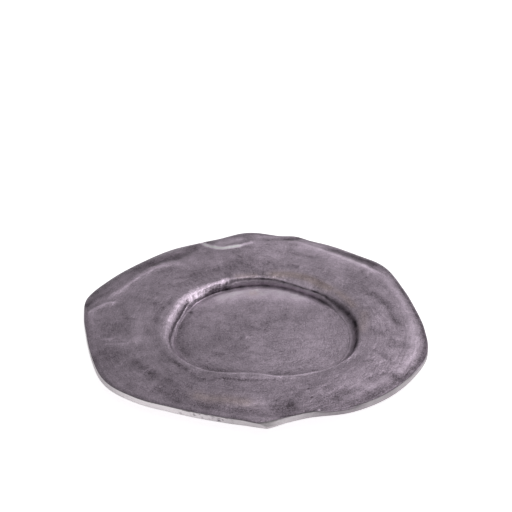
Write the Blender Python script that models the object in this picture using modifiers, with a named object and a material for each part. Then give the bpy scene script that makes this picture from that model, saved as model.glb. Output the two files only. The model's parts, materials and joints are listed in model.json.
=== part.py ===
"""A hand-formed plate cast in one piece of aluminium, standing on four felt pads.

A plain round blank is turned first (profile plus Screw), then stretched to the
hand-cut outline, and its broad rim is lifted, sagged and thumb-pressed.
The table is at z = 0, and the middle of the outline's bounding box is at x = y = 0,
so the well sits off centre. Blender units are metres; the sizes below are mm.
"""

import bmesh
import bpy
import numpy as np

MM = 0.001

# --- pads and heights -------------------------------------------------------
PAD_RADIUS = 8.0
PAD_THICKNESS = 2.0
PAD_CIRCLE_RADIUS = 61.0   # distance of each pad from the middle of the foot
PAD_COUNT = 4
PAD_SEGMENTS = 40
ADHESIVE_GAP = 0.3         # film between a pad and the foot
WALL = 5.0                 # thickness of the casting
FOOT_Z = PAD_THICKNESS + ADHESIVE_GAP
FLOOR_Z = FOOT_Z + WALL    # top of the well floor
WELL_DEPTH = 8.0
RIM_Z = FLOOR_Z + WELL_DEPTH
ROLL_OFF = 2.0             # the border drops this far just before the edge
BAND_HEIGHT = 5.8          # ground edge face
RIM_CROWN = 0.9            # the rim domes slightly between well and border

# --- the turned blank: radius of each feature before stretching -------------
FLOOR_R, WELL_R, EDGE_R = 82.0, 88.0, 155.0
SECTORS = 120
SCREW_MERGE = 0.01         # joins the first and last sector
WELD_DISTANCE = 0.005
SHARP_DEGREES = 40         # edges bent further than this are shaded sharp

# --- working the blank ------------------------------------------------------
# The surface between top and underside, (radius, height) at its two bends.
SPLIT_INNER = (FLOOR_R - 2, FOOT_Z + WALL / 2)
SPLIT_OUTER = (WELL_R + 4, RIM_Z - WALL / 2 - 1.3)
UNDER_RIM_R = WELL_R + 12  # beyond this the underside lifts fully with the rim
UNDER_PRESS = 0.7          # share of each thumb stroke that shows underneath
PRESS_FADE = 6             # strokes reach full strength 1/6 of the way across the rim
BELL_SHARPNESS = 1.6       # how fast a stroke dies away across its half width
EASING_DEGREES = range(-24, 25, 6)  # angles averaged to round the underside

# Offset tables, read round the middle of the well: degrees from +X, radius.
OUTLINE = (
    (0, 152), (14, 151), (28, 155.5), (43, 165.5), (54, 164), (66, 165.5),
    (72, 166), (78, 169.5), (84, 166.5), (96, 169), (105, 167.5), (120, 171),
    (135, 170), (150, 174), (162, 177.5), (171, 171), (182, 163.5),
    (194, 160.5), (210, 160.5), (222, 153), (236, 142), (250, 137),
    (262, 136.5), (270, 139), (279, 134.5), (289, 134), (302, 141),
    (318, 147), (334, 151.5), (346, 155),
)
WELL_EDGE = (
    (0, 90.4), (10, 90.8), (20, 90.2), (30, 89), (40, 88.4), (50, 87.2),
    (60, 85), (70, 86.4), (80, 89), (90, 90.4), (100, 91), (107, 91.4),
    (112, 91.4), (120, 89.8), (128, 89.8), (135, 90.2), (142, 89.4), (150, 88.6),
    (160, 87.2), (170, 88), (180, 88.6), (190, 89.2), (200, 89.2), (210, 88.2),
    (220, 87.2), (230, 85.6), (240, 82.3), (250, 77.6), (260, 74.3), (270, 74.8),
    (280, 78.2), (290, 79.9), (300, 82.5), (310, 86.3), (320, 89.2),
    (330, 91.6), (340, 91.9), (350, 90.8),
)
FLOOR_EDGE = (
    (0, 81.5), (15, 81), (28, 80.6), (40, 80.6), (50, 80.8), (60, 81.2),
    (70, 82.6), (80, 84), (90, 84.8), (100, 84.8), (110, 84.6), (120, 85.2),
    (130, 84.6), (140, 83.6), (150, 81.2), (160, 80), (170, 79.8), (180, 80),
    (190, 80.4), (200, 80.6), (210, 80), (222, 79.5), (240, 74.5), (257, 69),
    (270, 69.5), (285, 74), (300, 78.5), (318, 82), (333, 82), (345, 81.8),
)
# Degrees from +X, height of the edge's top corner above the table.
EDGE_HEIGHT = (
    (0, 13), (30, 14), (50, 15), (70, 16.5), (82, 18), (94, 20.5),
    (106, 16.5), (114, 14.5), (135, 14), (160, 12.5), (200, 12.5),
    (250, 12.5), (272, 12), (288, 14), (305, 13), (330, 12.5),
)
# Degrees from +X, how far the well's edge stands above the rim's level.
LIP_LIFT = (
    (0, 0.0), (90, 0.0), (180, 0.1), (210, 0.2), (222, 0.4), (232, 0.8),
    (242, 1.3), (254, 1.6), (266, 1.7), (278, 1.2), (288, 0.5), (300, 0.2),
    (320, 0.0),
)
# Thumb strokes on the rim: path (x, y from the middle of the well), height,
# half width on the well's side, half width on the outer side.
STROKES = (
    (((-60, 152), (-52, 144), (-38, 140), (-22, 141.5), (-8, 147.5)), 0.9, 3, 14),
    (((-117, 106), (-95, 121), (-66, 143)), -0.7, 6, 6),
    (((-149, 50), (-129, 77), (-106, 102), (-88, 111), (-76, 108)), 0.8, 5.5, 6.5),
    (((-168, 27), (-154, 36), (-139, 42)), 0.7, 4, 6),
    (((14, 152), (30, 152), (51, 143), (79, 124), (105, 105), (120, 82),
      (132, 53), (139, 14), (139, -24), (125, -60)), 0.8, 7, 4),
    (((-115, -51), (-108, -65)), -0.4, 8, 8),
    (((-103, -67), (-93, -79)), -0.5, 6, 8),
    (((-92, -92), (-66, -110)), -0.5, 11, 8),
    (((21, -108), (24, -122)), -0.4, 8, 8),
    (((-58, -117), (-22, -124), (16, -128)), -0.45, 5, 4),
    (((101, 58), (112, 54), (120, 34), (129, 6)), -0.32, 7, 6),
    (((-137, 16), (-137, -12)), -0.3, 16, 16),
    (((-62, 92), (-28, 102), (6, 100)), -0.45, 13, 12),
)


def around(table, degrees):
    """Smooth closed curve (cubic Hermite) through an offset table, at these angles."""
    angles, values = np.array(table, float).T
    angles = np.concatenate([angles - 360, angles, angles + 360])
    values = np.concatenate([values, values, values])
    slope = np.zeros_like(values)
    slope[1:-1] = (values[2:] - values[:-2]) / (angles[2:] - angles[:-2])
    wanted = np.mod(degrees, 360.0)
    i = np.clip(np.searchsorted(angles, wanted, side="right") - 1, 1, len(angles) - 3)
    span = angles[i + 1] - angles[i]
    s = (wanted - angles[i]) / span
    return (
        (1 + 2 * s) * (1 - s) ** 2 * values[i]
        + s * (1 - s) ** 2 * span * slope[i]
        + s * s * (3 - 2 * s) * values[i + 1]
        + s * s * (s - 1) * span * slope[i + 1]
    )


def eased(table, degrees):
    """The same curve dressed rounder, as the outside of the foot is."""
    return sum(around(table, degrees + k) for k in EASING_DEGREES) / len(EASING_DEGREES)


def stroke(x, y, path, height, inner_width, outer_width):
    """One pressed ridge or dent: its cross-section is a bell, wider on one side."""
    nearest = np.full(np.shape(x), np.inf)
    side = np.zeros(np.shape(x))    # positive away from the well
    for (x0, y0), (x1, y1) in zip(path[:-1], path[1:]):
        dx, dy = x1 - x0, y1 - y0
        along = np.clip(((x - x0) * dx + (y - y0) * dy) / (dx * dx + dy * dy), 0, 1)
        path_x, path_y = x0 + along * dx, y0 + along * dy
        distance = np.hypot(x - path_x, y - path_y)
        closer = distance < nearest
        outward = (x - path_x) * path_x + (y - path_y) * path_y
        side = np.where(closer, outward, side)
        nearest = np.where(closer, distance, nearest)
    width = np.where(side > 0, outer_width, inner_width)
    return height * np.exp(-((nearest / width) ** 2) * BELL_SHARPNESS)


def blank_profile():
    """Half section of the turned blank as (radius, z), from the middle of the floor
    outwards, down the edge, and back under the rim to the middle of the foot."""
    edge_z = RIM_Z - ROLL_OFF
    under_z = RIM_Z - WALL
    return [
        # well floor
        (0, FLOOR_Z), (30, FLOOR_Z), (58, FLOOR_Z), (FLOOR_R - 4, FLOOR_Z),
        # steep step with a narrow ledge, then the sloping well wall
        (FLOOR_R, FLOOR_Z + 0.5), (FLOOR_R + 0.9, FLOOR_Z + 2.9),
        (FLOOR_R + 2.6, FLOOR_Z + 3.3), (WELL_R - 1.6, RIM_Z - 2.4),
        # rounded edge of the well
        (WELL_R, RIM_Z - 1.0), (WELL_R + 2.2, RIM_Z - 0.3), (WELL_R + 5, RIM_Z),
        # rim
        *((radius, RIM_Z) for radius in np.linspace(WELL_R + 11, EDGE_R - 8, 9)),
        # border rolling off to the edge
        (EDGE_R - 4.5, RIM_Z - 0.5), (EDGE_R - 1.8, RIM_Z - 1.2), (EDGE_R, edge_z),
        # edge face, its lower corner broken
        (EDGE_R - 0.1, edge_z - BAND_HEIGHT + 0.6), (EDGE_R - 0.9, edge_z - BAND_HEIGHT),
        # underside of the rim
        (EDGE_R - 7, under_z - 0.6), (EDGE_R - 13, under_z),
        *((radius, under_z) for radius in np.linspace(EDGE_R - 25, WELL_R + 18, 4)),
        (WELL_R + 9, under_z),
        # outside of the well wall
        (WELL_R + 4.2, under_z - 1.4), (WELL_R + 0.4, under_z - 4.0),
        (FLOOR_R + 2.4, FOOT_Z + 1.2),
        # flat foot
        (FLOOR_R + 0.4, FOOT_Z), (60, FOOT_Z), (0, FOOT_Z),
    ]


def turn(profile):
    """The profile revolved once about Z with a Screw modifier, as a mesh."""
    mesh = bpy.data.meshes.new("blank_profile")
    mesh.from_pydata(
        [(radius * MM, 0, z * MM) for radius, z in profile],
        [(i, i + 1) for i in range(len(profile) - 1)],
        [],
    )
    blank = bpy.data.objects.new("blank", mesh)
    bpy.context.scene.collection.objects.link(blank)
    screw = blank.modifiers.new("turn", "SCREW")
    screw.axis = "Z"
    screw.steps = screw.render_steps = SECTORS
    screw.use_merge_vertices = True
    screw.merge_threshold = SCREW_MERGE * MM
    screw.use_normal_calculate = True
    bpy.context.view_layer.update()
    graph = bpy.context.evaluated_depsgraph_get()
    turned = bpy.data.meshes.new_from_object(blank.evaluated_get(graph))
    bpy.data.objects.remove(blank)
    return turned


def stretch(radius, degrees, on_top):
    """Stretched x and y, and how far each point is across the rim (0 to 1)."""
    floor_edge, well_edge = (
        np.where(on_top, around(table, degrees), eased(table, degrees))
        for table in (FLOOR_EDGE, WELL_EDGE)
    )
    in_floor = radius / FLOOR_R * floor_edge
    up_wall = (radius - FLOOR_R) / (WELL_R - FLOOR_R)
    in_wall = floor_edge + up_wall * (well_edge - floor_edge)
    across = (radius - WELL_R) / (EDGE_R - WELL_R)
    in_rim = well_edge + across * (around(OUTLINE, degrees) - well_edge)
    stretched = np.where(radius < FLOOR_R, in_floor, np.where(radius < WELL_R, in_wall, in_rim))
    x = stretched * np.cos(np.radians(degrees))
    y = stretched * np.sin(np.radians(degrees))
    return x, y, np.clip(across, 0, 1)


def rim_lift(degrees, across):
    """Height added to the rim by its lip, its border and its crown."""
    ease = across * across * (3 - 2 * across)
    lip = around(LIP_LIFT, degrees) * (1 - across) ** 2
    border = around(EDGE_HEIGHT, degrees) + ROLL_OFF - RIM_Z
    return lip + border * ease + RIM_CROWN * 4 * across * (1 - across)


def form(mesh):
    """Stretches the turned blank to the hand-cut outline and works its rim.
    Returns where the middle of the well ends up, in mm."""
    points = np.empty(len(mesh.vertices) * 3)
    mesh.vertices.foreach_get("co", points)
    blank_x, blank_y, blank_z = (points.reshape(-1, 3) / MM).T
    radius = np.hypot(blank_x, blank_y)
    degrees = np.degrees(np.arctan2(blank_y, blank_x))
    on_top = blank_z > np.interp(radius, *zip(SPLIT_INNER, SPLIT_OUTER))

    x, y, across = stretch(radius, degrees, on_top)
    lift = rim_lift(degrees, across)
    pressed = sum(stroke(x, y, *row) for row in STROKES) * np.clip(across * PRESS_FADE, 0, 1)

    # the well wall takes a growing share of the lift, the rim all of it
    base = np.where(on_top, FLOOR_Z, FOOT_Z)
    share = np.clip((blank_z - base) / WELL_DEPTH, 0, 1)
    share = np.where(on_top & (radius >= WELL_R), 1.0, share)
    share = np.where(~on_top & (radius > UNDER_RIM_R), 1.0, share)
    z = blank_z + share * (lift + np.where(on_top, 1.0, UNDER_PRESS) * pressed)

    # the outline's own middle goes to the origin
    well_x, well_y = -(x.min() + x.max()) / 2, -(y.min() + y.max()) / 2
    formed = np.stack([x + well_x, y + well_y, z], 1) * MM
    mesh.vertices.foreach_set("co", formed.ravel())
    mesh.update()
    return well_x, well_y


def material(name, colour, roughness, metallic):
    made = bpy.data.materials.new(name)
    made.use_nodes = True
    inputs = made.node_tree.nodes["Principled BSDF"].inputs
    inputs["Base Color"].default_value = (*colour, 1)
    inputs["Roughness"].default_value = roughness
    inputs["Metallic"].default_value = metallic
    return made


def add_plate(parts, aluminium):
    """The casting. Returns the middle of its well, in mm."""
    casting = turn(blank_profile())
    well_middle = form(casting)
    bm = bmesh.new()
    bm.from_mesh(casting)
    bmesh.ops.remove_doubles(bm, verts=bm.verts, dist=WELD_DISTANCE * MM)
    bmesh.ops.recalc_face_normals(bm, faces=bm.faces)
    bm.to_mesh(casting)
    bm.free()
    casting.shade_smooth()
    casting.set_sharp_from_angle(angle=np.radians(SHARP_DEGREES))
    casting.materials.append(aluminium)
    parts.objects.link(bpy.data.objects.new("cast_plate", casting))
    return well_middle


def add_pad(parts, felt, name, x, y):
    """A felt disc standing on the table, its origin at its own middle."""
    mesh = bpy.data.meshes.new(name)
    bm = bmesh.new()
    bmesh.ops.create_cone(
        bm, cap_ends=True, segments=PAD_SEGMENTS, radius1=PAD_RADIUS * MM,
        radius2=PAD_RADIUS * MM, depth=PAD_THICKNESS * MM,
    )
    bm.to_mesh(mesh)
    bm.free()
    mesh.materials.append(felt)
    pad = bpy.data.objects.new(name, mesh)
    pad.location = (x * MM, y * MM, PAD_THICKNESS / 2 * MM)
    parts.objects.link(pad)


def main():
    for old in list(bpy.data.objects):
        bpy.data.objects.remove(old)
    parts = bpy.data.collections.new("cast_plate_on_pads")
    bpy.context.scene.collection.children.link(parts)

    aluminium = material(
        "cast_aluminium", colour=(0.22, 0.18, 0.21), roughness=0.45, metallic=0.9
    )
    felt = material("grey_felt", colour=(0.05, 0.05, 0.055), roughness=0.95, metallic=0.0)

    well_x, well_y = add_plate(parts, aluminium)
    for i in range(PAD_COUNT):
        angle = np.radians((i + 0.5) * 360 / PAD_COUNT)
        x = well_x + PAD_CIRCLE_RADIUS * np.cos(angle)
        y = well_y + PAD_CIRCLE_RADIUS * np.sin(angle)
        add_pad(parts, felt, f"felt_pad_{i + 1}", x, y)


main()
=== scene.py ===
"""A hand-formed cast aluminium plate on four felt pads, with its studio.

The plate lies flat: +X is right, +Y is back and +Z is up. Its round well is set in a
wide, irregular rim. Lengths in the tables and shape functions are millimetres from the
middle of the well, and become metres when a mesh is written. Directions are degrees
from +X towards +Y.
"""

import json
from types import SimpleNamespace

import bpy
import numpy as np
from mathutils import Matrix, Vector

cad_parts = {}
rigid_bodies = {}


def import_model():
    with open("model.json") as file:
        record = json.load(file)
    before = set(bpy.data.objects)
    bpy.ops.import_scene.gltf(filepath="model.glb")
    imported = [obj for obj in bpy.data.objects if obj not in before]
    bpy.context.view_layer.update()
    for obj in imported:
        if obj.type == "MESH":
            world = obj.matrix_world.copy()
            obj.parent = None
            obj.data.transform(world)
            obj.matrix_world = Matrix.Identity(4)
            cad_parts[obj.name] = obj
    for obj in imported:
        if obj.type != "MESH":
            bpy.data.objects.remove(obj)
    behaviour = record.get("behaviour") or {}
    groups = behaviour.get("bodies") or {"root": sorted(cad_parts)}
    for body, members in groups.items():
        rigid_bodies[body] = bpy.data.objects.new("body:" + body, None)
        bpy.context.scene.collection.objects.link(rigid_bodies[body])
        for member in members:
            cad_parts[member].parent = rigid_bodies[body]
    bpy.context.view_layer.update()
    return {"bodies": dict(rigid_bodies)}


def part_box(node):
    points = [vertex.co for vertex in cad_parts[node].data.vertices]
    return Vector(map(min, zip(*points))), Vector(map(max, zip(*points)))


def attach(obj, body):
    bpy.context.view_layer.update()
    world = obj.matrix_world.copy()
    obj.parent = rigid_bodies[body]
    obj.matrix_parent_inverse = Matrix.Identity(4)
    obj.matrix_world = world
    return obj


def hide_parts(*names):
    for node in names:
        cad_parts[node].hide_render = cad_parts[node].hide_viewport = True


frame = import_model()
MM = 0.001
ROOT = list(frame["bodies"])[0]

# --- where the casting sits ---------------------------------------------------
pad_boxes = [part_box(f"felt_pad_{k}") for k in (1, 2, 3, 4)]
WELL_X = sum((low.x + high.x) / 2 for low, high in pad_boxes) / 4 / MM
WELL_Y = sum((low.y + high.y) / 2 for low, high in pad_boxes) / 4 / MM
PAD_TOP = pad_boxes[0][1].z / MM
FOOT_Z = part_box("cast_plate")[0].z / MM
WALL = 5.0
FLOOR_Z = FOOT_Z + WALL
WELL_DEPTH = 8.0
RIM_Z = FLOOR_Z + WELL_DEPTH
RIM_ARCH = 0.9  # rise of the rim halfway across
EDGE_BAND = 5.8  # height of the ground edge
BRUSH_RADIUS = 55  # turns direction into length for the brushed textures

# --- offset tables: direction, then mm ------------------------------------------
OUTLINE = (
    (0, 152), (14, 151), (28, 155.5), (43, 165.5), (54, 164), (66, 165.5),
    (72, 166), (78, 169.5), (84, 166.5), (96, 169), (105, 167.5), (120, 171),
    (135, 170), (150, 174), (162, 177.5), (171, 171), (182, 163.5),
    (194, 160.5), (210, 160.5), (222, 153), (236, 142), (250, 137),
    (262, 136.5), (270, 139), (279, 134.5), (289, 134), (302, 141),
    (318, 147), (334, 151.5), (346, 155),
)
WELL_EDGE = (
    (0, 90.4), (10, 90.8), (20, 90.2), (30, 89), (40, 88.4), (50, 87.2),
    (60, 85), (70, 86.4), (80, 89), (90, 90.4), (100, 91), (107, 91.4),
    (112, 91.4), (120, 89.8), (128, 89.8), (135, 90.2), (142, 89.4), (150, 88.6),
    (160, 87.2), (170, 88), (180, 88.6), (190, 89.2), (200, 89.2), (210, 88.2), (220, 87.2),
    (230, 85.6), (240, 82.3), (250, 77.6), (260, 74.3), (270, 74.8),
    (280, 78.2), (290, 79.9), (300, 82.5), (310, 86.3), (320, 89.2),
    (330, 91.6), (340, 91.9), (350, 90.8),
)
FLOOR_EDGE = (
    (0, 81.5), (15, 81), (28, 80.6), (40, 80.6), (50, 80.8), (60, 81.2),
    (70, 82.6), (80, 84), (90, 84.8), (100, 84.8), (110, 84.6), (120, 85.2),
    (130, 84.6), (140, 83.6), (150, 81.2), (160, 80), (170, 79.8), (180, 80),
    (190, 80.4), (200, 80.6), (210, 80), (222, 79.5), (240, 74.5), (257, 69),
    (270, 69.5), (285, 74), (300, 78.5), (318, 82), (333, 82), (345, 81.8),
)
EDGE_HEIGHT = (
    (0, 13), (30, 14), (50, 15), (70, 16.5), (82, 18), (94, 20.5),
    (106, 16.5), (114, 14.5), (135, 14), (160, 12.5), (200, 12.5),
    (250, 12.5), (272, 12), (288, 14), (305, 13), (330, 12.5),
)
# how far the shoulder of the well rolls outwards, and how far it has dropped
# by the time it meets the wall
SHOULDER_WIDTH = (
    (0, 2), (20, 2.5), (30, 4), (40, 5), (50, 6), (60, 6), (72, 6), (85, 4),
    (100, 4), (107, 4), (112, 4), (121, 3.6), (128, 5.4), (136, 7.4), (143, 6.4),
    (151, 4.8), (165, 5.6),
    (180, 6), (200, 5), (212, 3.6), (222, 2), (235, 1.5), (290, 1.5), (330, 1.6),
)
SHOULDER_DROP = (
    (0, 0.4), (20, 0.5), (30, 0.9), (40, 1.2), (50, 1.4), (60, 1.5), (72, 1.3),
    (85, 0.6), (100, 0.5), (107, 0.5), (112, 1.2), (121, 1.2), (128, 1.6),
    (136, 1.9), (143, 1.7), (151, 1.4), (165, 1.3), (180, 1.2), (200, 1.0),
    (212, 0.7), (222, 0.2),
    (235, 0.1), (290, 0.1), (330, 0.3),
)
LIP_LIFT = (
    (0, 0.0), (90, 0.0), (180, 0.1), (210, 0.2), (222, 0.4), (232, 0.8),
    (242, 1.3), (254, 1.6), (266, 1.7), (278, 1.2), (288, 0.5), (300, 0.2),
    (320, 0.0),
)
# the last strip of the rim falls away to the ground edge
BORDER_WIDTH = (
    (0, 4), (25, 6), (55, 8), (80, 5), (105, 6), (125, 12), (150, 12),
    (175, 8), (200, 6), (225, 5), (250, 4), (268, 3), (285, 3), (315, 3.5),
    (340, 3.5),
)
BORDER_DROP = (
    (0, 0.5), (25, 1.0), (55, 1.8), (80, 1.0), (105, 1.5), (125, 2.6),
    (150, 2.4), (165, 1.6), (178, 0.9), (200, 0.9), (225, 0.8), (250, 0.7), (268, 0.6),
    (285, 0.4), (315, 0.25), (340, 0.3),
)
# painted shade: a dark strip along the border where the rim rolls off: direction, middle (in from the
# edge), half width, strength
BORDER_SHADE = (
    (0, 2.4, 2.4, 0.7), (20, 3.0, 2.2, 0.6), (35, 3.4, 2.6, 0.5), (46, 5, 4, 0.35),
    (55, 5.5, 4, 0.2), (62, 4.5, 3, 0.0), (70, 3, 2.5, 0.1), (78, 3, 2.5, 0.3),
    (84, 3, 2.5, 0.0), (98, 3, 2.5, 0.0), (110, 5, 3, 0.1), (121, 3, 2, 0.2),
    (132, 3, 3, 0.3), (145, 5, 4.5, 0.35), (160, 4.5, 4.5, 0.4), (170, 3, 3, 0.05),
    (190, 2, 2, 0.08), (215, 2, 1.6, 0.2), (250, 2, 1.6, 0.2), (285, 2, 1.6, 0.2),
    (302, 2.4, 3.5, 0.3), (318, 3.2, 5, 0.5), (335, 2.8, 4.5, 0.6), (348, 2.6, 3.0, 0.75),
)
# how far the ground edge leans back at its top corner
EDGE_LEAN = (
    (0, 0.3), (60, 0.2), (180, 0.3), (240, 0.1), (270, 0.2), (286, 0.7),
    (300, 0.5), (314, 1.0), (335, 1.0), (348, 0.4),
)
# how the edge was finished: 0 left as cast, 0.25 ground and dull, 1 freshly ground
GROUND = (
    (0, 0.5), (60, 0.5), (150, 0.55), (185, 0.5), (200, 0.5), (208, 0.54), (214, 0.64),
    (220, 0.82), (226, 0.92), (238, 0.9), (246, 0.82), (254, 0.68), (262, 0.62), (270, 0.64),
    (278, 0.7), (286, 0.52), (294, 0.34), (301, 0.33), (310, 0.45), (318, 0.46), (326, 0.5),
    (345, 0.57),
)
# painted shade: how much darker the rim is made towards the front and the right
PAINTED_FALLOFF = (
    (0, 0.16), (20, 0.14), (45, 0.04), (60, 0), (120, 0), (200, 0), (215, 0.12),
    (235, 0.17), (255, 0.22), (275, 0.28), (290, 0.32), (310, 0.27), (335, 0.18),
)
# Fine lines worked round the well: direction, distance, strength. The bead runs
# along the foot of the left wall, with a line cut in just outside it. The hollows
# lie further out.
BEAD = (
    (148, 83.6, 0.9), (154, 82, 1), (160, 81, 0.9), (170, 81, 1), (180, 81.2, 0.8),
    (190, 83, 0.6), (200, 84.8, 0.5), (210, 86.2, 0.3), (216, 87, 0),
)
CUT = (
    (142, 86, 0), (146, 85.8, 0.7), (150, 84.8, 1), (160, 82.6, 0.9), (170, 83, 1),
    (180, 83.8, 1), (190, 86.2, 1), (198, 87.2, 0.7), (208, 88, 0),
)
OUTER_HOLLOW = (
    (140, 103, 0), (150, 100, 0.5), (160, 100, 0.6), (170, 100.5, 0.6),
    (180, 100, 0.6), (190, 98.6, 0.6), (200, 99, 0.4), (210, 96.5, 0.7),
    (220, 94.8, 0.8), (227, 96, 0.6), (233, 98, 0.3), (240, 99, 0.15), (246, 100, 0),
)
LIP_HOLLOW = (
    (241, 88, 0), (247, 87, 1.2), (254, 85.4, 1.0), (262, 83.4, 1.3),
    (272, 82.5, 1.0), (279, 83, 0.3), (284, 84, 0),
)

# Painted shade along the steep upper part of the wall: direction, share of the way up it, half width,
# strength.
LEDGE_SHADE = (
    (0, 0.74, 0.17, 0.95), (8, 0.74, 0.17, 0.9), (16, 0.71, 0.17, 0.8), (24, 0.64, 0.18, 0.65),
    (30, 0.58, 0.2, 0.65), (42, 0.59, 0.18, 0.8), (50, 0.63, 0.19, 0.85), (60, 0.64, 0.19, 0.85),
    (70, 0.66, 0.21, 0.8), (80, 0.7, 0.26, 0.75), (90, 0.72, 0.28, 0.75), (100, 0.7, 0.28, 0.7),
    (107, 0.67, 0.28, 0.7), (112, 0.58, 0.2, 0.5), (118, 0.48, 0.16, 0.3), (124, 0.36, 0.14, 0.2),
    (129, 0.3, 0.1, 0.0), (330, 0.7, 0.12, 0.0), (335, 0.72, 0.13, 0.6), (342, 0.74, 0.17, 0.9),
    (350, 0.74, 0.16, 0.85),
)
# Dirt and painted shade at the foot of the wall: direction, strength.
FOOT_DIRT_AND_SHADE = (
    (0, 0), (33, 0), (37, 0.3), (43, 0.6), (60, 0.6), (80, 0.55), (95, 0.62), (106, 0.85),
    (122, 0.75), (128, 0.6), (132, 0.3), (138, 0), (359, 0),
)

# Well wall: share of the way from floor to rim, then its height above the floor
# (mm of an 8 mm wall) on the right, at the back, on the back left where it is
# smeared smooth, on the left and at the front.
WALL_TABLE = (
    #   share   right   back  smear   left   front
    (-0.60,   0.00,   0.00,  0.00,  0.00,  0.00),
    (-0.25,   0.06,   0.00,  0.00,  0.02,  0.05),
    (0.00,    0.22,  -0.10,  0.10,  0.15,  0.20),
    (0.05,    0.42,   0.20,  0.90,  0.40,  0.40),
    (0.10,    0.50,   1.60,  1.90,  0.75,  0.70),
    (0.16,    0.52,   3.10,  2.80,  1.25,  1.10),
    (0.22,    0.60,   4.30,  3.55,  1.80,  1.60),
    (0.30,    0.85,   5.20,  4.25,  2.60,  2.20),
    (0.38,    1.25,   5.75,  4.75,  3.45,  3.00),
    (0.44,    1.70,   6.05,  5.10,  4.05,  3.60),
    (0.50,    2.25,   6.30,  5.40,  4.60,  4.20),
    (0.56,    2.90,   6.52,  5.70,  5.10,  4.80),
    (0.62,    3.70,   6.72,  6.00,  5.60,  5.40),
    (0.68,    4.70,   6.92,  6.30,  6.05,  6.00),
    (0.74,    5.70,   7.12,  6.60,  6.50,  6.50),
    (0.80,    6.50,   7.32,  6.92,  6.90,  6.90),
    (0.86,    7.10,   7.52,  7.25,  7.28,  7.25),
    (0.93,    7.60,   7.76,  7.62,  7.66,  7.65),
    (1.00,    8.00,   8.00,  8.00,  8.00,  8.00),
)
# direction, then the weight there of each height column of the wall
WALL_ZONES = (
    (0, 1, 0, 0, 0, 0), (22, 1, 0, 0, 0, 0), (38, 0.4, 0.6, 0, 0, 0),
    (50, 0, 1, 0, 0, 0), (107, 0, 1, 0, 0, 0), (112, 0, 0.45, 0.55, 0, 0),
    (121, 0, 0.4, 0.6, 0, 0), (128, 0, 0, 1, 0, 0), (143, 0, 0, 1, 0, 0),
    (152, 0, 0, 0, 1, 0), (215, 0, 0, 0, 1, 0), (235, 0, 0, 0, 0.2, 0.8),
    (250, 0, 0, 0, 0, 1), (300, 0, 0, 0, 0, 1), (318, 0.6, 0, 0, 0, 0.4),
    (330, 1, 0, 0, 0, 0),
)
WALL_COLUMNS = (1, 2, 3, 4, 5)
BACK, FRONT = 2, 5  # columns of WALL_ZONES

# --- listed marks ------------------------------------------------------------------
# Each row is a path of (x, y), its strength, the half width on its inner side, then
# where they differ the half width on its outer side and a shift outwards.
# Raised folds (+) and pressed hollows (-), strength in mm:
RELIEF = (
    # crescent fold
    (((-62, 153), (-56.5, 147.5), (-51.5, 144), (-47, 141.5)), 0.45, 2.4, 10, 1.8),
    (((-51.5, 144), (-45, 141), (-38, 140), (-30, 140.5), (-22, 141.5)), 0.85, 2.6, 16, 1.8),
    (((-24, 141.5), (-18, 143), (-13, 145), (-8, 147.5)), 0.5, 2.4, 9, 1.8),
    # hollow behind the back left ridge
    (((-117.5, 106), (-104.5, 115.5), (-94.5, 121), (-84.5, 127.5), (-74.5, 135),
      (-65.5, 143)), -0.7, 6),
    # back left ridge
    (((-149.5, 50.5), (-138.5, 64), (-129.5, 77.5), (-122.5, 85.5), (-113.5, 96),
      (-106.5, 103), (-99.5, 108), (-87.5, 111.5), (-75.5, 108.5)), 0.8, 5.5, 6.5, 1),
    # left elbow
    (((-168, 27), (-160, 31), (-154.5, 36.5), (-149.5, 41), (-145.5, 43), (-139.5, 43)),
     0.7, 4, 6, 1),
    # long right ridge
    (((14, 152), (22, 151), (30.5, 152), (40, 149.5), (51, 143.5), (64, 135), (79, 124.5),
      (94, 114), (105, 105), (116, 94.5), (120.5, 82.5), (126.5, 69.5), (132, 53), (136, 35),
      (139, 14.5), (140, -6), (139, -23.5), (134, -42), (125, -59.5)), 0.8, 7, 4, 1),
    # front left dent
    (((-115, -51), (-108, -64.5)), -0.4, 8),
    # front left wedge
    (((-103, -67), (-98, -74.5), (-93, -79.5)), -0.5, 5, 8),
    # its lower edge
    (((-112, -86), (-100, -84), (-90, -81)), 0.3, 4, 5, 2),
    # front left hollow
    (((-92, -92), (-80, -101.5), (-66, -110)), -0.5, 11, 8),
    # front thumb mark
    (((21, -108.5), (24, -122.5)), -0.4, 8),
    # front border hollow
    (((-58, -117), (-40, -121), (-22, -124), (0, -126.5), (16, -128.5), (27, -125.5)),
     -0.45, 5, 4),
    # right hook
    (((101, 58), (107, 59), (112, 54), (117, 44.5), (120, 34.5), (121, 26), (125, 14),
      (129, 6)), -0.32, 7, 6),
    # right hollows
    (((99, 1), (107, -5.5), (115, -10.5), (119, -19.5)), -0.3, 6, 5),
    (((98, -33), (107, -40), (112, -49.5), (118, -58)), -0.3, 5, 4.5),
    (((93, -79), (102, -73), (111, -67)), -0.3, 4.5),
    (((62, -110), (66, -100), (74, -95)), -0.3, 6),
    # lap in the edge
    (((48, -125), (55, -124), (62, -123.5), (70, -121.5), (77, -119.5), (82, -117.5)),
     -0.7, 1.1, 3.0),
    # left streaks
    (((-149, -17), (-142, -16.5), (-135, -17.5), (-126, -20), (-119, -22)), 0.3, 2.5, 3.5),
    (((-145, -24.5), (-134, -25), (-122, -24)), 0.22, 2.5, 3),
    # left hollow
    (((-137, 14.5), (-137, -12.5)), -0.3, 16),
    # back hollow
    (((-62, 95.5), (-45, 104), (-28, 107), (-8, 106.5), (6, 104.5)), -0.45, 13, 12),
    # back right dimples
    (((42, 126.5), (51.5, 124)), -0.3, 3), (((31, 131.5), (39, 129.5)), -0.25, 3),
    (((25, 110), (36, 106)), -0.3, 4),
)
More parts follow.
